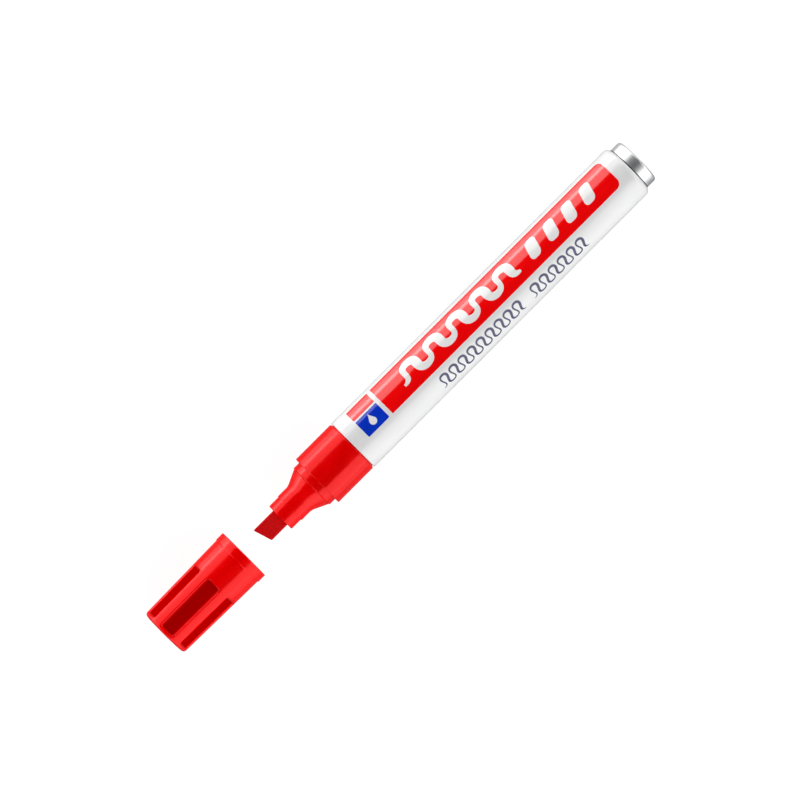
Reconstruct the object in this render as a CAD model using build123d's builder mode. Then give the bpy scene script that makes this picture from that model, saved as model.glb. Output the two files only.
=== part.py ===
from build123d import *
import os
from math import cos, radians, sin

# Felt tip marker with an aluminium barrel, a plastic front end and a fluted pull-off cap, in millimetres.
# The marker lies on its barrel along X, with the nib towards -X and the nib's wide faces up and down.
# The cap is pulled off and lies in line ahead of the nib.
# The origin is on the ground, below the middle of the whole length from the cap's end to the plug's end.

os.makedirs("parts", exist_ok=True)

# Barrel: drawn aluminium tube with its rear edge rolled inwards
barrel_radius = 7.6
barrel_wall = 0.5
barrel_straight = 95.25
barrel_front_rounding = 0.3
roll_radius = 1.66
roll_angle = 60

# Grip collar: the cap's seat ring, the collar itself and a spigot inside the barrel
ring_radius = 6.325
ring_length = 2.0
ring_chamfer = 0.12
collar_radius = 7.5
collar_length = 12.25
collar_front_fillet = 0.2
collar_rear_fillet = 0.45
collar_barrel_gap = 0.2
collar_bore_radius = 5.04
collar_bore_reach = 4.0
counterbore_radius = 6.15
spigot_radius = 7.0
spigot_length = 5.2
bead_height = 0.07
bead_length = 0.8
bead_pitch = 1.8
snap_reach = 2.0
snap_groove_length = 1.0
snap_groove_depth = 0.28

# Nib holder: stepped snout, cone and a tube with ribs that grip the nib
snout_tip_radius = 3.95
snout_tip_length = 3.25
snout_tip_fillet = 0.3
snout_radius = 4.17
snout_length = 3.55
snout_step_fillet = 0.08
cone_radius = 6.1
cone_length = 4.1
cone_blend_radius = 3.0
cone_rim_fillet = 0.12
tube_outer_radius = 5.0
tube_inner_radius = 4.15
tube_rear_reach = 16.6
tube_front_reach = 2.0
snap_bead_length = 0.8
snap_bead_height = 0.18
grip_rib_width = 0.7
grip_rib_spacing = 2.6
air_channel_width = 0.8
air_channel_depth = 0.45
air_channel_setback = 2.0

# Nib: felt bar with a wedge-shaped writing end and a slanted edge
nib_width = 5.0
nib_thickness = 3.0
nib_corner_radius = 0.4
nib_clearance = 0.04
nib_reach = 6.95
nib_length = 42.6
nib_slant = 17.0
nib_wedge_length = 4.6
nib_edge_thickness = 0.9
nib_tail_chamfer = 0.3

# Ink reservoir: fibre wadding in a film wrap, with a breather tube in a groove along it
wadding_radius = 6.72
wadding_end_gap = 0.6
wrap_clearance = 0.02
wrap_thickness = 0.14
wrap_overhang = 0.3
breather_radius = 0.8
breather_bore_radius = 0.5
breather_clearance = 0.05
breather_overhang = 0.4

# End plug: drawn aluminium cup held by the barrel's rolled edge, with a gasket between them
plug_radius = 6.45
plug_reach = 3.25
plug_edge_fillet = 0.7
plug_neck_radius = 6.2
plug_flange_radius = 7.05
plug_flange_thickness = 0.9
plug_flange_setback = 0.4
plug_skirt_radius = 6.6
plug_skirt_length = 3.4
plug_bore_radius = 5.4
plug_end_wall = 1.0
vent_notch_width = 1.6
vent_notch_depth = 1.4
gasket_show = 0.3
gasket_clearance = 0.02
gasket_lip_radius = 6.48

# Cap: outer shell with finger flutes, a smooth mouth and a raised lip
cap_gap = 25.6
cap_length = 28.0
cap_dome = 0.2
cap_end_radius = 6.78
cap_end_fillet = 0.9
cap_mouth_radius = 7.21
cap_end_wall = 1.3
lip_radius = 7.4
lip_length = 2.5
lip_ramp = 0.25
lip_fillet = 0.15
mouth_bore_radius = 6.42
mouth_bore_depth = 6.4
mouth_chamfer = 0.2
cap_bore_radius = 5.95
cap_bore_end_radius = 5.7
flute_count = 6
flute_width = 4.2
flute_depth = 0.6
flute_start = 1.2
flute_end = 17.7
flute_corner_radius = 0.7

# Inner cap: sleeve that closes over the snout, with ribs and a cross that hold it in the outer cap
inner_flange_radius = 6.36
inner_flange_thickness = 0.8
inner_bore_radius = 4.25
inner_wall = 0.75
inner_depth = 21.1
inner_end_wall = 0.8
inner_end_fillet = 0.5
inner_lead_in = 0.7
inner_clearance = 0.03
inner_rib_count = 6
inner_rib_width = 0.8
inner_rib_length = 3.0
inner_rib_radius = 5.68
cross_radius = 4.2
cross_width = 0.9

# Places along X, from the cap's closed end to the plug's end
roll_length = roll_radius * sin(radians(roll_angle))
marker_rear_length = collar_length + collar_barrel_gap + barrel_straight + roll_length + plug_reach
overall_length = cap_length + cap_gap + marker_rear_length
cap_end = -overall_length / 2
cap_mouth = cap_end + cap_length
seat = cap_mouth + cap_gap
ring_front = seat - ring_length
cone_start = ring_front - cone_length
snout_step = cone_start - snout_length
snout_tip = snout_step - snout_tip_length
nib_tip = snout_tip - nib_reach
nib_tail = nib_tip + nib_length
tube_front = ring_front - tube_front_reach
tube_rear = seat + tube_rear_reach
collar_rear = seat + collar_length
spigot_rear = collar_rear + spigot_length
barrel_front = collar_rear + collar_barrel_gap
roll_start = barrel_front + barrel_straight
barrel_rear = roll_start + roll_length
plug_end = barrel_rear + plug_reach
flange_rear = roll_start - plug_flange_setback
flange_front = flange_rear - plug_flange_thickness
skirt_front = flange_front - plug_skirt_length
wadding_front = spigot_rear + wadding_end_gap
wadding_rear = skirt_front - wadding_end_gap
inner_mouth = cap_mouth - mouth_bore_depth + inner_flange_thickness
inner_end = cap_mouth - inner_depth - inner_end_wall
cap_floor = cap_end + cap_end_wall
barrel_bore_radius = barrel_radius - barrel_wall
breather_offset = wadding_radius - breather_radius - breather_clearance
axis_height = barrel_radius

# The marker's axis, and a plane through it on which a turned outline is drawn as (x, radius)
marker_axis = Axis((0, 0, axis_height), (1, 0, 0))
side_plane = Plane(origin=(0, 0, axis_height), x_dir=(1, 0, 0), z_dir=(0, -1, 0))


def cross_plane(x):
    """Plane across the marker at x, facing +X, with its own X along Y and its own Y upwards."""
    return Plane(origin=(x, 0, axis_height), x_dir=(0, 1, 0), z_dir=(1, 0, 0))


def corner(outline, x, radius):
    """The corner of a side outline nearest to (x, radius)."""
    return outline.vertices().sort_by_distance((x, radius, 0))[0]


with BuildPart() as barrel:
    with BuildSketch(side_plane):
        with BuildLine():
            outside = Line((barrel_front + barrel_front_rounding, barrel_radius), (roll_start, barrel_radius))
            outside_roll = JernArc(outside @ 1, (1, 0), roll_radius, -roll_angle)
            bore = Line((barrel_front, barrel_bore_radius), (roll_start, barrel_bore_radius))
            bore_roll = JernArc(bore @ 1, (1, 0), roll_radius - barrel_wall, -roll_angle)
            Line(outside_roll @ 1, bore_roll @ 1)
            front_edge = Line(bore @ 0, (barrel_front, barrel_radius - barrel_front_rounding))
            TangentArc(front_edge @ 1, outside @ 0, tangent=(0, 1))
        make_face()
    revolve(axis=marker_axis)
barrel.part.label = "barrel"
export_step(barrel.part, "parts/barrel.step")


with BuildPart() as grip_collar:
    with BuildSketch(side_plane) as collar_outline:
        with BuildLine():
            Polyline(
                (ring_front, collar_bore_radius),
                (ring_front, ring_radius),
                (seat, ring_radius),
                (seat, collar_radius),
                (collar_rear, collar_radius),
                (collar_rear, spigot_radius),
                (spigot_rear, spigot_radius),
                (spigot_rear, counterbore_radius),
                (seat + collar_bore_reach, counterbore_radius),
                (seat + collar_bore_reach, collar_bore_radius),
                close=True,
            )
        make_face()
        chamfer(corner(collar_outline, ring_front, ring_radius), ring_chamfer)
        fillet(corner(collar_outline, seat, collar_radius), collar_front_fillet)
        fillet(corner(collar_outline, collar_rear, collar_radius), collar_rear_fillet)
        # Sealing beads round the spigot
        with Locations((spigot_rear - spigot_length / 2, spigot_radius)):
            with GridLocations(bead_pitch, 0, 2, 1):
                Rectangle(bead_length, 2 * bead_height)
        # Groove for the nib holder's snap bead
        with Locations((seat + snap_reach, collar_bore_radius)):
            Rectangle(snap_groove_length, 2 * snap_groove_depth, mode=Mode.SUBTRACT)
    revolve(axis=marker_axis)
grip_collar.part.label = "grip_collar"
export_step(grip_collar.part, "parts/grip_collar.step")


with BuildPart() as nib_holder:
    with BuildSketch(side_plane) as holder_outline:
        with BuildLine():
            snout_to_cone = FilletPolyline(
                (snout_step, snout_radius),
                (cone_start, snout_radius),
                (ring_front, cone_radius),
                radius=cone_blend_radius,
            )
            Polyline(
                snout_to_cone @ 1,
                (ring_front, tube_outer_radius),
                (tube_rear, tube_outer_radius),
                (tube_rear, 0),
                (snout_tip, 0),
                (snout_tip, snout_tip_radius),
                (snout_step, snout_tip_radius),
                snout_to_cone @ 0,
            )
        make_face()
        fillet(corner(holder_outline, snout_tip, snout_tip_radius), snout_tip_fillet)
        fillet(corner(holder_outline, snout_step, snout_radius), snout_step_fillet)
        fillet(corner(holder_outline, ring_front, cone_radius), cone_rim_fillet)
        # Snap bead that clicks into the collar's groove
        with Locations((seat + snap_reach, tube_outer_radius)):
            Rectangle(snap_bead_length, 2 * snap_bead_height)
    revolve(axis=marker_axis)
    # Bore of the tube, crossed by ribs
    with BuildSketch(cross_plane(tube_front)):
        Circle(tube_inner_radius)
    extrude(amount=tube_rear - tube_front, mode=Mode.SUBTRACT)
    with BuildSketch(cross_plane(tube_front)):
        with GridLocations(grip_rib_spacing, 0, 2, 1):
            Rectangle(grip_rib_width, 2 * tube_inner_radius)
        Rectangle(2 * tube_inner_radius, grip_rib_width)
    extrude(amount=tube_rear - tube_front)
    # Slot for the nib, all the way through
    with BuildSketch(cross_plane(snout_tip)):
        RectangleRounded(
            nib_width + 2 * nib_clearance,
            nib_thickness + 2 * nib_clearance,
            nib_corner_radius,
        )
    extrude(amount=tube_rear - snout_tip, mode=Mode.SUBTRACT)
    # Air channels over and under the nib, closed at the snout's front
    with BuildSketch(cross_plane(snout_tip + air_channel_setback)):
        Rectangle(air_channel_width, nib_thickness + 2 * nib_clearance + 2 * air_channel_depth)
    extrude(amount=tube_front - snout_tip - air_channel_setback, mode=Mode.SUBTRACT)
nib_holder.part.label = "nib_holder"
export_step(nib_holder.part, "parts/nib_holder.step")


with BuildPart() as nib:
    with BuildSketch(cross_plane(nib_tip)):
        RectangleRounded(nib_width, nib_thickness, nib_corner_radius)
    extrude(amount=nib_length)
    chamfer(nib.faces().sort_by(Axis.X)[-1].edges(), nib_tail_chamfer)
    # Wedge: a bevel on each wide face
    bevel_rise = (nib_thickness - nib_edge_thickness) / 2
    for side in (1, -1):
        bevel_origin = (nib_tip, 0, axis_height + side * nib_edge_thickness / 2)
        split(bisect_by=Plane(origin=bevel_origin, z_dir=(bevel_rise, 0, -side * nib_wedge_length)))
    # Slanted writing edge, longest at +Y
    slant_origin = (nib_tip, nib_width / 2, axis_height)
    slant_normal = (cos(radians(nib_slant)), sin(radians(nib_slant)), 0)
    split(bisect_by=Plane(origin=slant_origin, z_dir=slant_normal))
nib.part.label = "nib"
export_step(nib.part, "parts/nib.step")


with BuildPart() as ink_reservoir:
    with BuildSketch(cross_plane(wadding_front)):
        Circle(wadding_radius)
        # Groove for the breather tube, open to the outside
        with Locations((0, breather_offset)):
            Circle(breather_radius + breather_clearance, mode=Mode.SUBTRACT)
        with Locations((0, wadding_radius)):
            Rectangle(
                2 * breather_radius,
                2 * (wadding_radius - breather_offset),
                mode=Mode.SUBTRACT,
            )
    extrude(amount=wadding_rear - wadding_front)
    # Pocket for the nib's tail
    with BuildSketch(cross_plane(wadding_front)):
        RectangleRounded(
            nib_width + 2 * nib_clearance,
            nib_thickness + 2 * nib_clearance,
            nib_corner_radius,
        )
    extrude(amount=nib_tail + nib_clearance - wadding_front, mode=Mode.SUBTRACT)
ink_reservoir.part.label = "ink_reservoir"
export_step(ink_reservoir.part, "parts/ink_reservoir.step")


with BuildPart() as reservoir_wrap:
    with BuildSketch(cross_plane(wadding_front - wrap_overhang)):
        Circle(wadding_radius + wrap_clearance + wrap_thickness)
        Circle(wadding_radius + wrap_clearance, mode=Mode.SUBTRACT)
    extrude(amount=wadding_rear - wadding_front + 2 * wrap_overhang)
reservoir_wrap.part.label = "reservoir_wrap"
export_step(reservoir_wrap.part, "parts/reservoir_wrap.step")


with BuildPart() as breather_tube:
    with BuildSketch(cross_plane(wadding_front - breather_overhang)):
        with Locations((0, breather_offset)):
            Circle(breather_radius)
            Circle(breather_bore_radius, mode=Mode.SUBTRACT)
    extrude(amount=wadding_rear - wadding_front + 2 * breather_overhang)
breather_tube.part.label = "breather_tube"
export_step(breather_tube.part, "parts/breather_tube.step")


with BuildPart() as end_plug:
    with BuildSketch(side_plane) as plug_outline:
        with BuildLine():
            Polyline(
                (skirt_front, plug_bore_radius),
                (skirt_front, plug_skirt_radius),
                (flange_front, plug_skirt_radius),
                (flange_front, plug_flange_radius),
                (flange_rear, plug_flange_radius),
                (flange_rear, plug_neck_radius),
                (barrel_rear + gasket_show, plug_neck_radius),
                (barrel_rear + gasket_show, plug_radius),
                (plug_end, plug_radius),
                (plug_end, 0),
                (plug_end - plug_end_wall, 0),
                (plug_end - plug_end_wall, plug_bore_radius),
                close=True,
            )
        make_face()
        fillet(corner(plug_outline, plug_end, plug_radius), plug_edge_fillet)
    revolve(axis=marker_axis)
    # Notches that let air out of the skirt
    with BuildSketch(cross_plane(skirt_front)):
        Rectangle(vent_notch_width, 2 * plug_skirt_radius + 1)
        Rectangle(2 * plug_skirt_radius + 1, vent_notch_width)
    extrude(amount=vent_notch_depth, mode=Mode.SUBTRACT)
end_plug.part.label = "end_plug"
export_step(end_plug.part, "parts/end_plug.step")


with BuildPart() as end_plug_seal:
    seal_front = flange_rear + gasket_clearance
    seal_rear = barrel_rear + gasket_show - gasket_clearance
    seal_bore_radius = plug_neck_radius + gasket_clearance
    seal_outer_radius = barrel_bore_radius - gasket_clearance
    with BuildSketch(side_plane):
        with BuildLine():
            seal_wall = Line((seal_front, seal_outer_radius), (roll_start, seal_outer_radius))
            seal_roll = JernArc(
                seal_wall @ 1, (1, 0), roll_radius - barrel_wall - gasket_clearance, -roll_angle
            )
            Polyline(
                seal_roll @ 1,
                (seal_rear, gasket_lip_radius),
                (seal_rear, seal_bore_radius),
                (seal_front, seal_bore_radius),
                seal_wall @ 0,
            )
        make_face()
    revolve(axis=marker_axis)
end_plug_seal.part.label = "end_plug_seal"
export_step(end_plug_seal.part, "parts/end_plug_seal.step")


# One finger flute as a solid to cut away: its flat floor follows the cap's taper
with BuildPart() as flute_cutter:
    cap_slope = (cap_mouth_radius - cap_end_radius) / (cap_length - lip_length - cap_dome)
    flute_middle = (flute_start + flute_end) / 2
    floor_height = cap_end_radius + cap_slope * (flute_middle - cap_dome) - flute_depth
    floor_plane = Plane(
        origin=(cap_end + flute_middle, 0, axis_height + floor_height),
        x_dir=(1, 0, cap_slope),
        z_dir=(-cap_slope, 0, 1),
    )
    with BuildSketch(floor_plane):
        RectangleRounded(flute_end - flute_start, flute_width, flute_corner_radius)
    extrude(amount=3 * flute_depth)

with BuildPart() as cap:
    with BuildSketch(side_plane) as cap_outline:
        with BuildLine():
            dome = TangentArc((cap_end, 0), (cap_end + cap_dome, cap_end_radius), tangent=(0, 1))
            Polyline(
                dome @ 1,
                (cap_mouth - lip_length, cap_mouth_radius),
                (cap_mouth - lip_length + lip_ramp, lip_radius),
                (cap_mouth, lip_radius),
                (cap_mouth, mouth_bore_radius + mouth_chamfer),
                (cap_mouth - mouth_chamfer, mouth_bore_radius),
                (cap_mouth - mouth_bore_depth, mouth_bore_radius),
                (cap_mouth - mouth_bore_depth, cap_bore_radius),
                (cap_floor, cap_bore_end_radius),
                (cap_floor, 0),
                dome @ 0,
            )
        make_face()
        fillet(corner(cap_outline, cap_end + cap_dome, cap_end_radius), cap_end_fillet)
        fillet(corner(cap_outline, cap_mouth, lip_radius), lip_fillet)
    revolve(axis=marker_axis)
    for flute in range(flute_count):
        add(flute_cutter.part.rotate(marker_axis, flute * 360 / flute_count), mode=Mode.SUBTRACT)
cap.part.label = "cap"
export_step(cap.part, "parts/cap.step")


with BuildPart() as inner_cap:
    with BuildSketch(side_plane) as inner_outline:
        flange_end = cap_mouth - mouth_bore_depth + inner_clearance
        sleeve_radius = inner_bore_radius + inner_wall
        with BuildLine():
            Polyline(
                (inner_mouth, inner_bore_radius + inner_lead_in),
                (inner_mouth, inner_flange_radius),
                (flange_end, inner_flange_radius),
                (flange_end, sleeve_radius),
                (inner_end, sleeve_radius),
                (inner_end, 0),
                (inner_end + inner_end_wall, 0),
                (inner_end + inner_end_wall, inner_bore_radius),
                (inner_mouth - inner_lead_in, inner_bore_radius),
                close=True,
            )
        make_face()
        fillet(corner(inner_outline, inner_end, sleeve_radius), inner_end_fillet)
        fillet(corner(inner_outline, inner_end + inner_end_wall, inner_bore_radius), inner_end_fillet)
    revolve(axis=marker_axis)
    # Ribs round the closed end that press into the outer cap
    rib_start = inner_end + inner_end_fillet
    rib_foot = sleeve_radius - inner_wall / 2
    with BuildSketch(cross_plane(rib_start)):
        with PolarLocations((rib_foot + inner_rib_radius) / 2, inner_rib_count):
            Rectangle(inner_rib_radius - rib_foot, inner_rib_width)
    extrude(amount=inner_rib_length)
    # Cross behind the closed end that bears on the outer cap's floor
    with BuildSketch(cross_plane(cap_floor + inner_clearance)):
        Rectangle(2 * cross_radius, cross_width)
        Rectangle(cross_width, 2 * cross_radius)
    extrude(amount=inner_end - cap_floor)
inner_cap.part.label = "inner_cap"
export_step(inner_cap.part, "parts/inner_cap.step")
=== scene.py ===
import math

import bmesh
import bpy
from mathutils import Matrix, Vector, noise


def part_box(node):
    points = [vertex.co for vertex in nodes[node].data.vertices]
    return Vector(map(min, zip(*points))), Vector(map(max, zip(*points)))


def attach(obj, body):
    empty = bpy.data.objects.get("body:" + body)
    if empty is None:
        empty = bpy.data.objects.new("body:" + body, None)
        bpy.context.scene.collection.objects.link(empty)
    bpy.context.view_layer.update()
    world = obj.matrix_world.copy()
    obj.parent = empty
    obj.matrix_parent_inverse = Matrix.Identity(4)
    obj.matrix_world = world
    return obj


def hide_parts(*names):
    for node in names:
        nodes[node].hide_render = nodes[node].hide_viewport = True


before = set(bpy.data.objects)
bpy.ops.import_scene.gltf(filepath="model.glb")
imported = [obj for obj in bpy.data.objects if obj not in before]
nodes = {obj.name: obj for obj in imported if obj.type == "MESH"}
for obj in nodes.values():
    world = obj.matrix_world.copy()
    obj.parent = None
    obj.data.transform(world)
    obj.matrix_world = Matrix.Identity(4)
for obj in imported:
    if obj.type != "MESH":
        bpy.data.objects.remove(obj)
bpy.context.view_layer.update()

MM = 0.001
scene = bpy.context.scene


# ---------------------------------------------------------------- places, all taken from the frame

barrel_low, barrel_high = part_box("barrel")
collar_low, collar_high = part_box("grip_collar")
holder_low, holder_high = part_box("nib_holder")
cap_low, cap_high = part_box("cap")
nib_low, nib_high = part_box("nib")
wadding_low, wadding_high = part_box("ink_reservoir")

axis_z = (barrel_low.z + barrel_high.z) / 2
barrel_radius = barrel_high.z - axis_z
barrel_front = barrel_low.x
seat = barrel_front - 12.45 * MM         # the collar's front face, which the cap closes against


# ---------------------------------------------------------------- small helpers

def smooth_step(low, high, value):
    """0 below low, 1 above high, eased between them."""
    t = min(max((value - low) / (high - low), 0.0), 1.0)
    return t * t * (3 - 2 * t)


def round_about_axis(x, radius, angle):
    """A point at a radius from the marker's axis, at an angle from straight up towards +Y."""
    return Vector((x, radius * math.sin(angle), axis_z + radius * math.cos(angle)))


def make_object(name, mesh, material, body):
    """An object from a finished mesh, riding on a body."""
    thing = bpy.data.objects.new(name, mesh)
    scene.collection.objects.link(thing)
    mesh.materials.append(material)
    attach(thing, body)
    return thing


def skin(name, rings, first_pole=None, last_pole=None):
    """A closed mesh over rings of equally many points, with a pole point beyond each open end."""
    bm = bmesh.new()
    rows = [[bm.verts.new(point) for point in ring] for ring in rings]
    count = len(rows[0])
    for before, after in zip(rows, rows[1:]):
        for i in range(count):
            j = (i + 1) % count
            bm.faces.new((before[i], before[j], after[j], after[i]))
    for pole, row in ((first_pole, rows[0]), (last_pole, rows[-1])):
        tip = bm.verts.new(pole)
        for i in range(count):
            bm.faces.new((row[i], row[(i + 1) % count], tip))
    bmesh.ops.recalc_face_normals(bm, faces=bm.faces)
    mesh = bpy.data.meshes.new(name)
    bm.to_mesh(mesh)
    bm.free()
    mesh.shade_smooth()
    return mesh


def arc_points(centre, radius, start, end, steps):
    """Points on an arc in the (x, radius) plane, angles in degrees from +x."""
    points = []
    for i in range(steps + 1):
        angle = math.radians(start + (end - start) * i / steps)
        points.append((centre[0] + radius * math.cos(angle), centre[1] + radius * math.sin(angle)))
    return points


def fill_between(start, end, step):
    """Points on the way from start to end, both left out, no further apart than step."""
    length = math.dist(start, end)
    count = max(1, math.ceil(length / step))
    return [
        (start[0] + (end[0] - start[0]) * i / count, start[1] + (end[1] - start[1]) * i / count)
        for i in range(1, count)
    ]


# ---------------------------------------------------------------- material graphs

class Graph:
    """A material's node tree, with its Principled shader and object coordinates in millimetres."""

    def __init__(self, name, **settings):
        self.material = bpy.data.materials.new(name)
        self.material.use_nodes = True
        self.tree = self.material.node_tree
        self.shader = self.tree.nodes["Principled BSDF"]
        for socket, value in settings.items():
            self.shader.inputs[socket.replace("_", " ")].default_value = value
        place = self.add("ShaderNodeTexCoord").outputs["Object"]
        self.place = self.vector("SCALE", place, scale=1 / MM)
        x, y, z = self.split(self.place)
        lift = self.math("SUBTRACT", z, axis_z / MM)
        self.x = x
        self.radius = self.math("SQRT", self.math("ADD", self.math("MULTIPLY", y, y),
                                                  self.math("MULTIPLY", lift, lift)))
        self.angle = self.math("ARCTAN2", y, lift)

    def add(self, kind, inputs=(), **properties):
        node = self.tree.nodes.new(kind)
        for key, value in properties.items():
            setattr(node, key, value)
        for key, value in dict(inputs).items():
            if isinstance(value, bpy.types.NodeSocket):
                self.tree.links.new(value, node.inputs[key])
            else:
                node.inputs[key].default_value = value
        return node

    def math(self, operation, first, second=0.0, third=0.0, clamp=False):
        inputs = {0: first, 1: second, 2: third}
        return self.add("ShaderNodeMath", inputs, operation=operation, use_clamp=clamp).outputs[0]

    def vector(self, operation, first, second=None, scale=None):
        inputs = {0: first}
        if second is not None:
            inputs[1] = second
        if scale is not None:
            inputs["Scale"] = scale
        return self.add("ShaderNodeVectorMath", inputs, operation=operation).outputs[0]

    def split(self, value):
        return self.add("ShaderNodeSeparateXYZ", {0: value}).outputs

    def join(self, x, y, z):
        return self.add("ShaderNodeCombineXYZ", {0: x, 1: y, 2: z}).outputs[0]

    def noise(self, per_mm, detail=2.0, place=None):
        """Noise between 0 and 1, with so many features per millimetre along each axis."""
        stretched = self.vector("MULTIPLY", place or self.place, per_mm)
        inputs = {"Vector": stretched, "Scale": 1.0, "Detail": detail}
        return self.add("ShaderNodeTexNoise", inputs).outputs[0]

    def remap(self, value, low, high, to_low=0.0, to_high=1.0):
        inputs = {"Value": value, "From Min": low, "From Max": high, "To Min": to_low, "To Max": to_high}
        return self.add("ShaderNodeMapRange", inputs, interpolation_type="SMOOTHSTEP").outputs[0]

    def mix(self, factor, first, second):
        inputs = {"Factor": factor, 6: first, 7: second}
        return self.add("ShaderNodeMix", inputs, data_type="RGBA").outputs[2]

    def paint(self, colour):
        self.tree.links.new(colour, self.shader.inputs["Base Color"])

    def gloss(self, roughness):
        self.tree.links.new(roughness, self.shader.inputs["Roughness"])

    def bump(self, layers):
        """Stacked bumps: (height, depth in millimetres, strength) each."""
        normal = None
        for height, depth, strength in layers:
            inputs = {"Height": height, "Distance": depth * MM, "Strength": strength}
            if normal is not None:
                inputs["Normal"] = normal
            normal = self.add("ShaderNodeBump", inputs).outputs[0]
        self.tree.links.new(normal, self.shader.inputs["Normal"])

    def scratches(self, per_mm, share):
        """Sparse fine lines, 1 on a scratch and 0 off it."""
        lines = self.noise(per_mm, detail=4.0)
        return self.remap(lines, 1 - share, 1 - share + 0.06)


def colour(red, green, blue):
    return (red, green, blue, 1.0)


def red_plastic(name, red, rims=(), flutes=None, shine=0.95):
    """Glossy moulded plastic: faint flow marks, a fine skin, light handling scratches, worn rims, and painted
    shade on the cap's flute floors where a mask is given.
    """
    g = Graph(name, IOR=1.7, Specular_IOR_Level=shine, Specular_Tint=colour(1.0, 0.12, 0.12))
    flow = g.noise((0.12, 0.35, 0.35), detail=3.0)
    speck = g.noise((5.0, 5.0, 5.0), detail=2.0)
    deep, bright = colour(red - 0.04, 0.0, 0.0), colour(red + 0.04, 0.0, 0.001)
    tone = g.mix(g.remap(flow, 0.3, 0.7), deep, bright)
    if flutes is not None:
        # painted shade: the flute floors are painted a darker red
        tone = g.mix(flutes(g), tone, colour(0.40, 0.0, 0.0))
    worn = 0.0
    for rim in rims:
        distance = g.math("ABSOLUTE", g.math("SUBTRACT", g.x, rim / MM))
        worn = g.math("MAXIMUM", worn, g.remap(distance, 0.35, 0.05))
    if rims:
        worn = g.math("MULTIPLY", worn, g.remap(g.noise((1.5, 1.5, 1.5)), 0.45, 0.75))
        tone = g.mix(g.math("MULTIPLY", worn, 0.35), tone, colour(0.95, 0.06, 0.05))
    g.paint(tone)
    scratch = g.scratches((0.5, 7.0, 7.0), 0.33)
    rough = g.remap(flow, 0.3, 0.7, 0.13, 0.19)
    rough = g.math("ADD", rough, g.math("MULTIPLY", scratch, 0.07))
    rough = g.math("ADD", rough, g.math("MULTIPLY", worn, 0.12))
    g.gloss(rough)
    g.bump([(g.noise((0.35, 0.9, 0.9)), 0.05, 0.12), (speck, 0.004, 0.25), (scratch, 0.002, 0.3)])
    return g.material


def flute_shade_mask(g):
    """1 on the floors of the cap's finger flutes, which are painted a darker red: painted shade in the
    recesses.
    """
    turned = g.math("ADD", g.angle, 4 * math.pi + FLUTE_PITCH / 2)
    within = g.math("SUBTRACT", g.math("MODULO", turned, FLUTE_PITCH), FLUTE_PITCH / 2)
    side = g.remap(g.math("ABSOLUTE", within), FLUTE_FLOOR + 0.05, FLUTE_FLOOR - 0.07)
    reach = g.math("SUBTRACT", g.x, cap_low.x / MM)
    front = g.remap(reach, FLUTE_START / MM - 0.1, FLUTE_START / MM + 0.3)
    rear = g.remap(reach, FLUTE_END / MM + 0.1, FLUTE_END / MM - 0.3)
    outside = g.remap(g.radius, INSIDE_BELOW / MM, INSIDE_BELOW / MM + 0.08)
    return g.math("MULTIPLY", g.math("MULTIPLY", side, outside), g.math("MULTIPLY", front, rear))


def white_lacquer():
    """Gloss lacquer on the drawn tube: orange peel, faint dust and grey rub marks near the ends."""
    g = Graph("white_lacquer", IOR=1.5, Coat_Weight=0.5, Coat_Roughness=0.06)
    cloud = g.noise((0.05, 0.2, 0.2), detail=3.0)
    tone = g.mix(g.remap(cloud, 0.3, 0.7), colour(0.785, 0.785, 0.79), colour(0.82, 0.82, 0.82))
    front = g.remap(g.x, barrel_front / MM + 2.5, barrel_front / MM)
    rear = g.remap(g.x, barrel_high.x / MM - 3.0, barrel_high.x / MM)
    patchy = g.remap(g.noise((0.6, 3.0, 3.0), 4.0), 0.5, 0.75)
    rubbed = g.math("MULTIPLY", g.math("MAXIMUM", front, rear), patchy)
    tone = g.mix(g.math("MULTIPLY", rubbed, 0.25), tone, colour(0.55, 0.55, 0.57))
    dust = g.remap(g.noise((2.2, 2.2, 2.2), 1.0), 0.76, 0.80)
    tone = g.mix(g.math("MULTIPLY", dust, 0.12), tone, colour(0.5, 0.5, 0.5))
    g.paint(tone)
    scratch = g.scratches((0.25, 5.0, 5.0), 0.32)
    rough = g.math("ADD", g.remap(cloud, 0.3, 0.7, 0.16, 0.24), g.math("MULTIPLY", scratch, 0.08))
    g.gloss(rough)
    g.bump([(g.noise((0.8, 0.8, 0.8), 1.0), 0.02, 0.15), (scratch, 0.002, 0.25)])
    return g.material


def bare_aluminium():
    """Drawn and turned aluminium: fine rings round the wall and the end face, small dents in the shine."""
    g = Graph("bare_aluminium", Metallic=1.0)
    rings = g.noise((14.0, 14.0, 0.0), 3.0, g.join(g.x, g.radius, 0.0))
    streak = g.noise((9.0, 9.0, 9.0), 3.0)
    tone = g.mix(g.remap(rings, 0.3, 0.7), colour(0.78, 0.79, 0.805), colour(0.93, 0.935, 0.94))
    tone = g.mix(g.remap(streak, 0.62, 0.8, 0.0, 0.3), tone, colour(0.45, 0.45, 0.46))
    g.paint(tone)
    g.gloss(g.remap(g.math("ADD", rings, streak), 0.7, 1.3, 0.34, 0.50))
    g.bump([(rings, 0.008, 0.5), (streak, 0.006, 0.35), (g.noise((0.7, 0.7, 0.7)), 0.05, 0.2)])
    return g.material


def dark_rubber():
    g = Graph("dark_rubber", IOR=1.5)
    grain = g.noise((9.0, 9.0, 9.0), 3.0)
    g.paint(g.mix(grain, colour(0.012, 0.012, 0.013), colour(0.035, 0.035, 0.036)))
    g.gloss(g.remap(grain, 0.3, 0.7, 0.5, 0.7))
    g.bump([(grain, 0.01, 0.4)])
    return g.material


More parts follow.
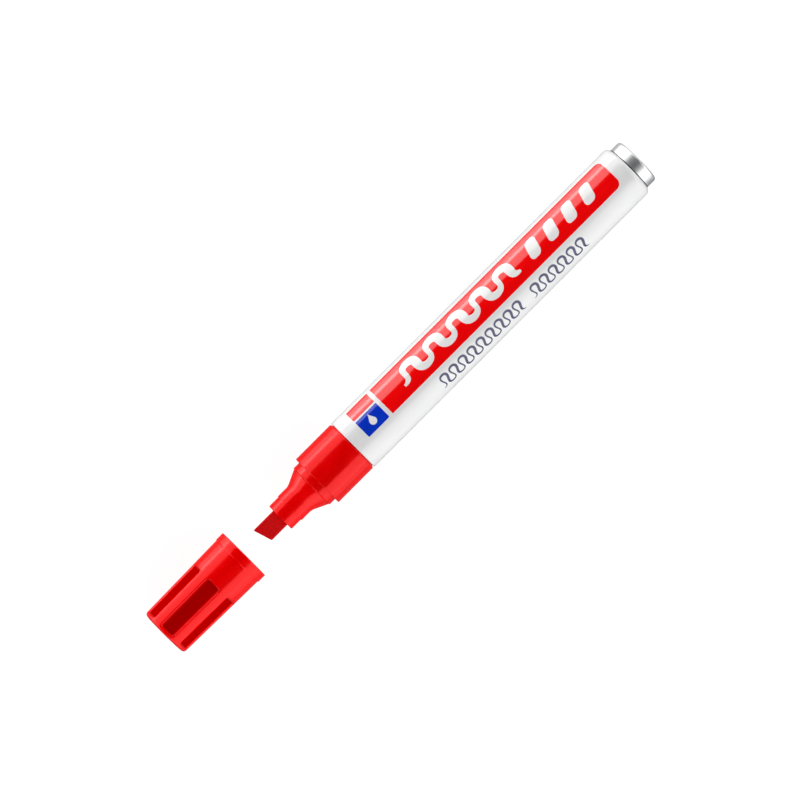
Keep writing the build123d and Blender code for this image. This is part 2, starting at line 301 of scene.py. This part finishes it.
def natural_plastic(name):
    """Unpigmented plastic, milky and slightly waxy, with flow marks from the mould."""
    g = Graph(name, IOR=1.5, Subsurface_Weight=0.35, Subsurface_Scale=0.0008)
    flow = g.noise((0.2, 0.5, 0.5), 3.0)
    g.paint(g.mix(g.remap(flow, 0.3, 0.7), colour(0.78, 0.78, 0.74), colour(0.88, 0.88, 0.86)))
    g.gloss(g.remap(flow, 0.3, 0.7, 0.32, 0.45))
    g.bump([(flow, 0.03, 0.2), (g.noise((6.0, 6.0, 6.0)), 0.004, 0.3)])
    return g.material


def clear_film():
    """Thin clear wrap with fine lengthways stretch marks."""
    g = Graph("clear_film", IOR=1.46, Transmission_Weight=0.85)
    stretch = g.noise((0.1, 3.0, 3.0), 3.0)
    g.paint(g.mix(stretch, colour(0.86, 0.87, 0.86), colour(0.95, 0.95, 0.94)))
    g.gloss(g.remap(stretch, 0.3, 0.7, 0.06, 0.18))
    g.bump([(stretch, 0.01, 0.3)])
    return g.material


def fibre(name, dark, light, fuzz):
    """Ink-soaked fibre that runs along the marker: streaks, matted strands and open pores, with painted shade
    in the pores.
    """
    g = Graph(name, IOR=1.4, Specular_IOR_Level=0.15, Sheen_Weight=fuzz, Sheen_Roughness=0.5)
    strand = g.noise((0.9, 9.0, 9.0), 5.0)
    matted = g.noise((3.0, 6.0, 6.0), 4.0)
    pore_and_shade = g.remap(g.noise((4.0, 11.0, 11.0), 2.0), 0.62, 0.74)
    tone = g.mix(g.remap(strand, 0.3, 0.7), dark, light)
    # painted shade: the pores are darkened in the colour
    tone = g.mix(g.math("MULTIPLY", pore_and_shade, 0.55), tone, [part * 0.4 for part in dark[:3]] + [1.0])
    g.paint(tone)
    g.gloss(g.remap(matted, 0.3, 0.7, 0.62, 0.85))
    g.bump([(strand, 0.06, 0.7), (matted, 0.04, 0.5), (pore_and_shade, -0.03, 0.6)])
    return g.material


def printing_ink(name, dark, light):
    """Screen-printed ink under clear varnish: a little uneven, with pinholes and a glossy skin."""
    g = Graph(name, IOR=1.5, Coat_Weight=0.6, Coat_Roughness=0.04)
    cloud = g.noise((0.15, 0.5, 0.5), 3.0)
    weave = g.noise((8.0, 8.0, 8.0), 2.0)
    g.paint(g.mix(g.remap(g.math("ADD", cloud, g.math("MULTIPLY", weave, 0.3)), 0.4, 0.95), dark, light))
    g.gloss(g.remap(cloud, 0.3, 0.7, 0.11, 0.15))
    g.bump([(weave, 0.003, 0.3), (g.noise((0.8, 0.8, 0.8), 1.0), 0.02, 0.12)])
    return g.material


# ---------------------------------------------------------------- cap: fluted shell

FLUTE_COUNT = 6
FLUTE_PITCH = 2 * math.pi / FLUTE_COUNT
FLUTE_DEPTH = 0.6 * MM          # in the middle of the flat floor
FLUTE_START = 1.2 * MM
FLUTE_END = 17.7 * MM
FLUTE_CORNER = 0.7 * MM
FLUTE_FLOOR = math.radians(16.5)    # from a flute's middle to the edge of its flat floor
FLUTE_BRINK = math.radians(20.5)    # and on to the top of its wall
FLUTED_ABOVE = 6.4 * MM             # the outer wall is fluted where its radius is more than this
INSIDE_BELOW = 6.02 * MM            # the cap's surface below this radius is its bore or an end face
CAP_SEGMENTS = 480


def flute_recess(x, angle, radius):
    """How far the cap's surface lies below its cone, in flutes with a flat floor and soft walls."""
    turned = abs((angle + FLUTE_PITCH / 2) % FLUTE_PITCH - FLUTE_PITCH / 2)
    middle = (FLUTE_START + FLUTE_END) / 2
    brink = FLUTE_BRINK * radius
    half_length = (FLUTE_END - FLUTE_START) / 2
    wall = (FLUTE_BRINK - FLUTE_FLOOR) * radius
    along = max(abs(x - cap_low.x - middle) - (half_length + 0.2 * MM - FLUTE_CORNER - wall / 2), 0.0)
    across = max(turned * radius - (brink - FLUTE_CORNER - wall / 2), 0.0)
    outside = math.hypot(along, across) - FLUTE_CORNER - wall / 2
    floor = radius - (radius - FLUTE_DEPTH) / math.cos(min(turned, FLUTE_FLOOR))
    return floor * smooth_step(0.0, wall, -outside)


def on_flute_floor(point):
    """True on the flat floors of the flutes, which are matt: the rest of the cap is shiny."""
    y, z = point.y, point.z - axis_z
    angle = math.atan2(y, z)
    turned = abs((angle + FLUTE_PITCH / 2) % FLUTE_PITCH - FLUTE_PITCH / 2)
    reach = point.x - cap_low.x
    lengthways = FLUTE_START + 0.3 * MM < reach < FLUTE_END - 0.3 * MM
    return turned < FLUTE_FLOOR + math.radians(1.0) and lengthways and math.hypot(y, z) > INSIDE_BELOW


def cap_outline():
    """The cap's outer and inner wall as (x, radius), from the closed end's middle round to its inside."""
    end, mouth = cap_low.x, cap_high.x
    dome, end_radius, fillet = 0.2 * MM, 6.78 * MM, 0.9 * MM
    lip_start, lip_radius, mouth_radius = mouth - 2.5 * MM, 7.4 * MM, 7.21 * MM
    bore, depth, shoulder = 6.42 * MM, 6.4 * MM, 5.95 * MM
    floor, floor_radius = end + 1.3 * MM, 5.7 * MM
    dome_rise = [(end + dome * (share * share), end_radius * share) for share in
                 (0.08, 0.12, 0.16, 0.25, 0.4, 0.55, 0.7, 0.8)]
    gate = [(end + 0.25 * MM, 0.25 * MM), (end + 0.22 * MM, 0.45 * MM)]
    corner = arc_points((end + dome + fillet, end_radius - fillet), fillet, 180, 92, 10)
    wall = fill_between(corner[-1], (lip_start, mouth_radius), 0.14 * MM)
    lip = [
        (lip_start, mouth_radius),
        (lip_start + 0.07 * MM, mouth_radius + 0.02 * MM),
        (lip_start + 0.16 * MM, lip_radius - 0.05 * MM),
        (lip_start + 0.26 * MM, lip_radius),
    ]
    rim = arc_points((mouth - 0.15 * MM, lip_radius - 0.15 * MM), 0.15 * MM, 90, 0, 4)
    rim += arc_points((mouth - 0.12 * MM, bore + 0.17 * MM), 0.12 * MM, 0, -80, 4)
    lip += fill_between(lip[-1], rim[0], 0.5 * MM)
    inside = [(mouth - 0.4 * MM, bore)]
    inside += fill_between(inside[0], (mouth - depth, bore), 1.0 * MM)
    inside += [
        (mouth - depth, bore),
        (mouth - depth, shoulder + 0.1 * MM),
        (mouth - depth - 0.1 * MM, shoulder),
    ]
    inside += fill_between(inside[-1], (floor + 0.3 * MM, floor_radius), 1.5 * MM)
    inside += [(floor + 0.3 * MM, floor_radius), (floor, floor_radius - 0.3 * MM), (floor, 2.0 * MM)]
    return gate + dome_rise + corner + wall + lip + rim, inside


def make_cap():
    outer, inner = cap_outline()
    rings = []
    for x, radius in outer + inner:
        fluted = (x, radius) in outer and radius > FLUTED_ABOVE
        ring = []
        for i in range(CAP_SEGMENTS):
            angle = 2 * math.pi * i / CAP_SEGMENTS
            recess = flute_recess(x, angle, radius) if fluted else 0.0
            ring.append(round_about_axis(x, radius - recess, angle))
        rings.append(ring)
    start = Vector((cap_low.x + 0.25 * MM, 0, axis_z))
    stop = Vector((cap_low.x + 1.3 * MM, 0, axis_z))
    mesh = skin("cap_shell", rings, start, stop)
    rims = (cap_low.x, cap_high.x)
    # both cap materials paint the flute floors a darker red as painted shade
    gloss = red_plastic("cap_red", 0.96, rims, flute_shade_mask)
    shell = make_object("cap_shell", mesh, gloss, "cap")
    mesh.materials.append(red_plastic("cap_red_matt", 0.96, rims, flute_shade_mask, shine=0.0))
    for face in mesh.polygons:
        if on_flute_floor(face.center):
            face.material_index = 1
    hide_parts("cap")


# ---------------------------------------------------------------- nib: pressed felt

NIB_SECTION = 96
NIB_CORNER = 0.45 * MM
NIB_WEDGE = 4.6 * MM
NIB_EDGE = 0.9 * MM
NIB_SLANT = math.tan(math.radians(17.0))


def rounded_section(half_width, half_height, corner, count):
    """Points round a rounded rectangle, as (across, up, outward across, outward up)."""
    flat_w, flat_h = half_width - corner, half_height - corner
    quarter = math.pi / 2 * corner
    sides = [2 * flat_h, 2 * flat_w, 2 * flat_h, 2 * flat_w]
    total = sum(sides) + 4 * quarter
    centres = [(flat_w, flat_h), (-flat_w, flat_h), (-flat_w, -flat_h), (flat_w, -flat_h)]
    points = []
    for i in range(count):
        walk = total * i / count
        for k in range(4):
            turn = k * math.pi / 2
            if walk < sides[k]:
                end = centres[k]
                back = sides[k] - walk
                out = (math.cos(turn), math.sin(turn))
                across = end[0] + corner * out[0] + back * out[1]
                up = end[1] + corner * out[1] - back * out[0]
                points.append((across, up, *out))
                break
            walk -= sides[k]
            if walk < quarter:
                bend = turn + walk / corner
                out = (math.cos(bend), math.sin(bend))
                points.append((centres[k][0] + corner * out[0], centres[k][1] + corner * out[1], *out))
                break
            walk -= quarter
    return points


def smooth_wedge(share):
    """Straight bevel from 0 to 1 with a short soft run-out at its rear."""
    if share < 0.9:
        return share
    return min(1.0, 0.9 + 0.1 * math.sin(min((share - 0.9) / 0.2, 1.0) * math.pi / 2))


def make_nib():
    half_width = (nib_high.y - nib_low.y) / 2
    full = (nib_high.z - nib_low.z) / 2
    length = nib_high.x - nib_low.x
    stations = [0.0, 0.03, 0.08, 0.14, 0.2] + [0.26 + 0.1 * i for i in range(72)]
    stations = [share * MM for share in stations]
    stations += [stations[-1] + step * MM for step in (1, 3, 6, 12, 18, 24, 30, 33.5)]
    stations.append(length - 0.3 * MM)
    stations.append(length - 0.02 * MM)
    rings = []
    for reach in stations:
        wedge = (NIB_EDGE + (2 * full - NIB_EDGE) * smooth_wedge(reach / NIB_WEDGE)) / 2
        soft = 0.22 * MM
        pull = soft - math.sqrt(max(soft**2 - max(soft - reach, 0.0) ** 2, 0.0))
        tail = 0.3 * MM if reach > length - 0.1 * MM else 0.0
        half_height = wedge - pull - tail
        width = half_width - pull * 0.8 - tail
        corner = min(NIB_CORNER, half_height * 0.8)
        ring = []
        for across, up, out_y, out_z in rounded_section(width, half_height, corner, NIB_SECTION):
            slant = NIB_SLANT * (half_width - across) * (1 - smooth_step(3.0 * MM, 9.0 * MM, reach))
            place = Vector((nib_low.x + reach + slant, across, axis_z + up))
            fibres = noise.noise(Vector((place.x * 500, place.y * 5200, place.z * 5200)))
            tufts = noise.noise(place * 1600)
            swell = (0.016 * fibres + 0.014 * tufts - 0.02) * MM
            place.y += out_y * swell
            place.z += out_z * swell
            place.x += 0.03 * MM * tufts * (1 - smooth_step(0.0, 0.5 * MM, reach))
            ring.append(place)
        rings.append(ring)
    front = sum(rings[0], Vector()) / NIB_SECTION
    rear = sum(rings[-1], Vector()) / NIB_SECTION
    mesh = skin("felt_nib", rings, front, rear)
    felt = fibre("nib_felt", colour(0.54, 0.001, 0.002), colour(0.73, 0.003, 0.005), 0.0)
    nib = make_object("felt_nib", mesh, felt, "marker")
    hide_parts("nib")


# ---------------------------------------------------------------- ink wadding

WADDING_SEGMENTS = 240
WADDING_STEPS = 48


def make_wadding():
    """Bundled fibre with lengthways ridges, the breather tube's groove and the pocket for the nib's tail."""
    radius = axis_z - wadding_low.z
    tube_low, tube_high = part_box("breather_tube")
    tube_radius = (tube_high.z - tube_low.z) / 2 + 0.05 * MM
    tube_up = (tube_high.z + tube_low.z) / 2 - axis_z
    pocket_end = nib_high.x + 0.04 * MM
    pocket = rounded_section(2.54 * MM, 1.54 * MM, 0.4 * MM, WADDING_SEGMENTS)
    pocket = sorted(pocket, key=lambda point: math.atan2(point[0], point[1]) % (2 * math.pi))

    def outside(x, angle):
        ridge = noise.noise(Vector((x * 150, math.sin(angle) * 22, math.cos(angle) * 22)))
        reach = radius - 0.03 * MM + 0.03 * MM * ridge
        if abs(math.sin(angle)) * reach < tube_radius and math.cos(angle) > 0:
            side = math.sin(angle) * reach
            depth = tube_up - math.sqrt(tube_radius**2 - side**2)
            return Vector((x, side, axis_z + depth))
        return round_about_axis(x, reach, angle)

    angles = [2 * math.pi * i / WADDING_SEGMENTS for i in range(WADDING_SEGMENTS)]
    rings = []
    for x in (pocket_end, wadding_low.x):
        rings.append([Vector((x, across, axis_z + up)) for across, up, *_ in pocket])
    for i in range(WADDING_STEPS + 1):
        x = wadding_low.x + (wadding_high.x - wadding_low.x) * i / WADDING_STEPS
        rings.append([outside(x, angle) for angle in angles])
    start = Vector((pocket_end, 0, axis_z))
    stop = Vector((wadding_high.x, 0, axis_z))
    mesh = skin("fibre_wadding", rings, start, stop)
    fibres = fibre("wadding_fibre", colour(0.50, 0.010, 0.012), colour(0.76, 0.04, 0.045), 0.1)
    wadding = make_object("fibre_wadding", mesh, fibres, "marker")
    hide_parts("ink_reservoir")


# ---------------------------------------------------------------- printing on the barrel

INK = 0.012 * MM                # thickness of one layer of ink
WRAP_STEP = math.radians(2.5)   # the printing bends round the barrel in steps of this angle
CORNER_STEPS = 8
BLOCK_START = 16.65 * MM        # the block and the panel along the marker, from the seat
BLOCK_END = 23.75 * MM
PANEL_START = 24.9 * MM
PANEL_END = 104.9 * MM


def rounded_outline(x0, x1, low, high, front_corner, rear_corner):
    """Rectangle from x0 to x1 and low to high, with corners of their own radius at each end."""
    points = []
    for x, y, side, turn in ((x1, low, -1, -90), (x1, high, -1, 0), (x0, high, 1, 90), (x0, low, 1, 180)):
        radius = rear_corner if x == x1 else front_corner
        inward = 1 if y == low else -1
        centre = (x + side * radius, y + inward * radius)
        points += arc_points(centre, radius, turn, turn + 90, CORNER_STEPS)
    return points


def ribbon_outline(line, widths):
    """Outline of a stroke along a line of points, with half-widths on each side."""
    left, right = [], []
    for i, (x, y) in enumerate(line):
        before, after = line[max(i - 1, 0)], line[min(i + 1, len(line) - 1)]
        run = math.dist(before, after)
        side = (-(after[1] - before[1]) / run, (after[0] - before[0]) / run)
        left.append((x + side[0] * widths[i], y + side[1] * widths[i]))
        right.append((x - side[0] * widths[i], y - side[1] * widths[i]))
    return left + right[::-1]


def print_film(name, outlines, material, layer=1):
    """Thin closed ink films on the barrel, from outlines in (x from the seat, arc length from the top)."""
    bm = bmesh.new()
    for outline in outlines:
        corners = [bm.verts.new((x, y, 0)) for x, y in outline]
        bm.faces.new(corners)
    bmesh.ops.triangulate(bm, faces=bm.faces)
    low = min(y for outline in outlines for x, y in outline)
    high = max(y for outline in outlines for x, y in outline)
    cuts = int((high - low) / (WRAP_STEP * barrel_radius))
    for i in range(1, cuts + 1):
        cut = low + (high - low) * i / (cuts + 1)
        everything = bm.verts[:] + bm.edges[:] + bm.faces[:]
        bmesh.ops.bisect_plane(bm, geom=everything, plane_co=(0, cut, 0), plane_no=(0, 1, 0), dist=1e-9)
    bmesh.ops.remove_doubles(bm, verts=bm.verts, dist=1e-8)
    flat = bm.faces[:]
    raised = bmesh.ops.extrude_face_region(bm, geom=flat)["geom"]
    for vert in raised:
        if isinstance(vert, bmesh.types.BMVert):
            vert.co.z = INK
    base = barrel_radius + 0.004 * MM + (layer - 1) * (INK + 0.002 * MM)
    for vert in bm.verts:
        vert.co = round_about_axis(seat + vert.co.x, base + vert.co.z, vert.co.y / barrel_radius)
    bmesh.ops.recalc_face_normals(bm, faces=bm.faces)
    mesh = bpy.data.meshes.new(name)
    bm.to_mesh(mesh)
    bm.free()
    mesh.shade_smooth()
    mesh.set_sharp_from_angle(angle=math.radians(40))
    return make_object(name, mesh, material, "marker")


def arc_at(degrees):
    """Arc length along the barrel's surface at an angle from the top, towards +Y."""
    return math.radians(degrees) * barrel_radius


def wave_stroke(x0, x1, middle, height, turns, thin, thick):
    """A wavy pen stroke, thin on the way up and thick on the way down, as a chisel nib writes it."""
    steps = turns * 28
    line, widths = [], []
    for i in range(steps + 1):
        phase = 2 * math.pi * turns * i / steps
        x = x0 + (x1 - x0) * i / steps + 0.16 * height * math.sin(2 * phase)
        line.append((x, middle - height / 2 * math.cos(phase)))
        falling = 0.5 - 0.5 * math.sin(phase + 0.35)
        end = min(i, steps - i) / 6
        widths.append((thin + (thick - thin) * falling) * min(1.0, 0.35 + end))
    return ribbon_outline(line, widths)


def leaning_chip(x, low, high, lean, half_width, round_radius):
    """A short rounded dash that leans forward."""
    points = rounded_outline(x - half_width, x + half_width, low, high, round_radius, round_radius)
    return [(px + lean * (py - low), py) for px, py in points]


def drop_outline(x, y, radius, tail):
    """An ink drop with its point towards +Y."""
    points = []
    for i in range(36):
        angle = 2 * math.pi * i / 36
        sharp = max(0.0, math.sin(angle)) ** 6
        across = radius * math.cos(angle) * (1 - sharp)
        points.append((x + across, y + radius * math.sin(angle) + tail * sharp))
    return points


def make_printing():
    red = printing_ink("ink_red", colour(0.94, 0.0, 0.001), colour(1.0, 0.001, 0.002))
    blue = printing_ink("ink_blue", colour(0.001, 0.030, 0.52), colour(0.002, 0.042, 0.62))
    white = printing_ink("ink_white", colour(0.84, 0.83, 0.82), colour(0.92, 0.92, 0.91))
    navy = printing_ink("ink_navy", colour(0.012, 0.012, 0.08), colour(0.02, 0.02, 0.12))
    low, high = arc_at(-11), arc_at(61)
    corner = 0.25 * MM
    block = rounded_outline(BLOCK_START, BLOCK_END, low, arc_at(27), corner, corner)
    print_film("print_block", [block], blue)
    flag = rounded_outline(BLOCK_START, BLOCK_END, arc_at(31), high, corner, corner)
    print_film("print_flag", [flag], red)
    drop = drop_outline((BLOCK_START + BLOCK_END) / 2, arc_at(5.5), 1.0 * MM, 1.25 * MM)
    print_film("print_drop", [drop], white, layer=2)
    panel = rounded_outline(PANEL_START, PANEL_END, low, high, 0.12 * MM, 1.8 * MM)
    print_film("print_panel", [panel], red)
    wave = wave_stroke(31.8 * MM, 72.2 * MM, arc_at(25), 4.2 * MM, 5, 0.7 * MM, 1.25 * MM)
    print_film("print_wave", [wave], white, layer=2)
    chips = [
        leaning_chip((77.5 + 6.3 * i) * MM, arc_at(5), arc_at(44), 0.28, 1.7 * MM, 1.2 * MM)
        for i in range(4)
    ]
    print_film("print_chips", chips, white, layer=2)
    scribble = []
    for start, turns in ((38.5, 9), (70.0, 6)):
        stop = start + turns * 3.15
        scribble.append(wave_stroke(start * MM, stop * MM, arc_at(-40), 3.7 * MM, turns, 0.2 * MM, 0.36 * MM))
    print_film("print_scribble", scribble, navy)


# ---------------------------------------------------------------- carried-over CAD nodes

def dress(node, material):
    thing = nodes[node]
    for i in range(len(thing.material_slots)):
        thing.material_slots[i].material = material


def dress_cad_nodes():
    dress("barrel", white_lacquer())
    dress("grip_collar", red_plastic("collar_red", 0.86, (seat, collar_low.x, barrel_front - 0.2 * MM)))
    dress("nib_holder", red_plastic("holder_red", 0.92, (holder_low.x, collar_low.x)))
    dress("end_plug", bare_aluminium())
    dress("end_plug_seal", dark_rubber())
    dress("inner_cap", natural_plastic("inner_cap_natural"))
    dress("breather_tube", natural_plastic("breather_tube_natural"))
    dress("reservoir_wrap", clear_film())


# ---------------------------------------------------------------- camera, light and floor

SENSOR = 36.0                   # width of the camera's sensor, in millimetres
LENS = 271.35                   # focal length, in millimetres
DISTANCE = 1492.425 * MM        # from the marker's axis up to the camera
TILT = math.radians(1.43)       # the marker's rear end leans away from the camera
ROLL = math.radians(45.0)       # the marker rises to the right in the picture
CAMERA_X = seat - 8.6 * MM      # where the camera looks squarely at the marker's axis
CAMERA_Y = -0.35 * MM


def make_camera():
    data = bpy.data.cameras.new("camera")
    camera = bpy.data.objects.new("camera", data)
    scene.collection.objects.link(camera)
    data.sensor_width = SENSOR
    data.lens = LENS
    data.clip_start, data.clip_end = 0.05, 20
    forward = Vector((math.sin(TILT), 0, -math.cos(TILT)))
    along = Vector((math.cos(TILT), 0, math.sin(TILT)))
    across = Vector((0, 1, 0))
    right = math.cos(ROLL) * along - math.sin(ROLL) * across
    up = math.sin(ROLL) * along + math.cos(ROLL) * across
    turn = Matrix((right, up, -forward)).transposed().to_4x4()
    place = Vector((CAMERA_X, CAMERA_Y, axis_z + DISTANCE))
    camera.matrix_world = Matrix.Translation(place) @ turn
    scene.camera = camera


GAP_HALF_ANGLE = 42.0           # degrees from straight up to where the soft boxes start
GAP_EDGE = 2.0
GAP_LIGHT = 0.02
BOX_LIGHT = 1.9
BACKDROP_LIGHT = 0.97


def make_world():
    """Two broad soft boxes along the marker, with a dark gap between them overhead."""
    world = bpy.data.worlds.new("studio")
    scene.world = world
    world.use_nodes = True
    tree = world.node_tree
    background = tree.nodes["Background"]
    place = tree.nodes.new("ShaderNodeTexCoord")
    parts = tree.nodes.new("ShaderNodeSeparateXYZ")
    side = tree.nodes.new("ShaderNodeMath")
    side.operation = "ABSOLUTE"
    lean = tree.nodes.new("ShaderNodeMath")
    lean.operation = "ARCTAN2"
    edge = tree.nodes.new("ShaderNodeMapRange")
    edge.interpolation_type = "SMOOTHSTEP"
    shown = tree.nodes.new("ShaderNodeLightPath")
    choose = tree.nodes.new("ShaderNodeMix")
    tree.links.new(place.outputs["Generated"], parts.inputs[0])
    tree.links.new(parts.outputs["Y"], side.inputs[0])
    tree.links.new(side.outputs[0], lean.inputs[0])
    tree.links.new(parts.outputs["Z"], lean.inputs[1])
    tree.links.new(lean.outputs[0], edge.inputs["Value"])
    edge.inputs["From Min"].default_value = math.radians(GAP_HALF_ANGLE - GAP_EDGE)
    edge.inputs["From Max"].default_value = math.radians(GAP_HALF_ANGLE + GAP_EDGE)
    edge.inputs["To Min"].default_value = GAP_LIGHT
    edge.inputs["To Max"].default_value = BOX_LIGHT
    tree.links.new(shown.outputs["Is Camera Ray"], choose.inputs["Factor"])
    tree.links.new(edge.outputs[0], choose.inputs["A"])
    choose.inputs["B"].default_value = BACKDROP_LIGHT
    tree.links.new(choose.outputs[0], background.inputs["Color"])


def make_long_light(name, side, elevation, height, radiance, soft=False):
    """A long light beside the marker, facing it. A soft one doesn't show in reflections."""
    length, distance = 1.8, 1.0
    data = bpy.data.lights.new(name, "AREA")
    data.shape = "RECTANGLE"
    data.size, data.size_y = length, height
    data.energy = radiance * math.pi * length * height
    light = bpy.data.objects.new(name, data)
    scene.collection.objects.link(light)
    rise = math.radians(elevation)
    towards = Vector((0, side * math.cos(rise), math.sin(rise)))
    light.location = towards * distance
    light.rotation_mode = "QUATERNION"
    light.rotation_quaternion = (-towards).to_track_quat("-Z", "Y")
    light.visible_camera = False
    light.visible_glossy = not soft


FLOOR_SEEN = 0.90               # how strongly the floor glows to each kind of ray
FLOOR_BOUNCED = 0.75
FLOOR_MIRRORED = 0.06
FAR_FLOOR_LEFT = 2.0            # extra glow in reflections, far out on each side
FAR_FLOOR_RIGHT = 0.8
FAR_FLOOR_START = 18            # millimetres out from the marker's axis
FAR_FLOOR_FULL = 60


def make_floor():
    """Plain white paper: as bright as the backdrop, with a faint shadow, and dim in near reflections."""
    bm = bmesh.new()
    bmesh.ops.create_grid(bm, x_segments=8, y_segments=8, size=4.0)
    mesh = bpy.data.meshes.new("floor")
    bm.to_mesh(mesh)
    bm.free()
    floor = bpy.data.objects.new("floor", mesh)
    scene.collection.objects.link(floor)
    floor.location.z = -0.01 * MM
    g = Graph("floor_paper", Roughness=0.9, Specular_IOR_Level=0.1)
    grain = g.noise((0.02, 0.02, 0.02), 4.0)
    g.paint(g.mix(grain, colour(0.19, 0.19, 0.19), colour(0.21, 0.21, 0.21)))
    rays = g.add("ShaderNodeLightPath").outputs
    seen = g.math("MULTIPLY", rays["Is Camera Ray"], FLOOR_SEEN - FLOOR_MIRRORED)
    bounced = g.math("MULTIPLY", rays["Is Diffuse Ray"], FLOOR_BOUNCED - FLOOR_MIRRORED)
    y = g.split(g.place)[1]
    left = g.math("MULTIPLY", g.remap(y, FAR_FLOOR_START, FAR_FLOOR_FULL), FAR_FLOOR_LEFT)
    right = g.math("MULTIPLY", g.remap(y, -FAR_FLOOR_START, -FAR_FLOOR_FULL), FAR_FLOOR_RIGHT)
    far = g.math("MULTIPLY", g.math("ADD", left, right), rays["Is Glossy Ray"])
    glow = g.math("ADD", g.math("ADD", seen, bounced), g.math("ADD", far, FLOOR_MIRRORED))
    g.shader.inputs["Emission Color"].default_value = (1, 1, 1, 1)
    g.tree.links.new(glow, g.shader.inputs["Emission Strength"])
    mesh.materials.append(g.material)


make_camera()
make_world()
make_long_light("strip_left", side=1, elevation=8, height=0.25, radiance=3.6)
make_long_light("fill_right", side=-1, elevation=45, height=0.9, radiance=0.62, soft=True)
make_floor()
scene.view_settings.view_transform = "Standard"

dress_cad_nodes()
make_cap()
make_nib()
make_wadding()
make_printing()
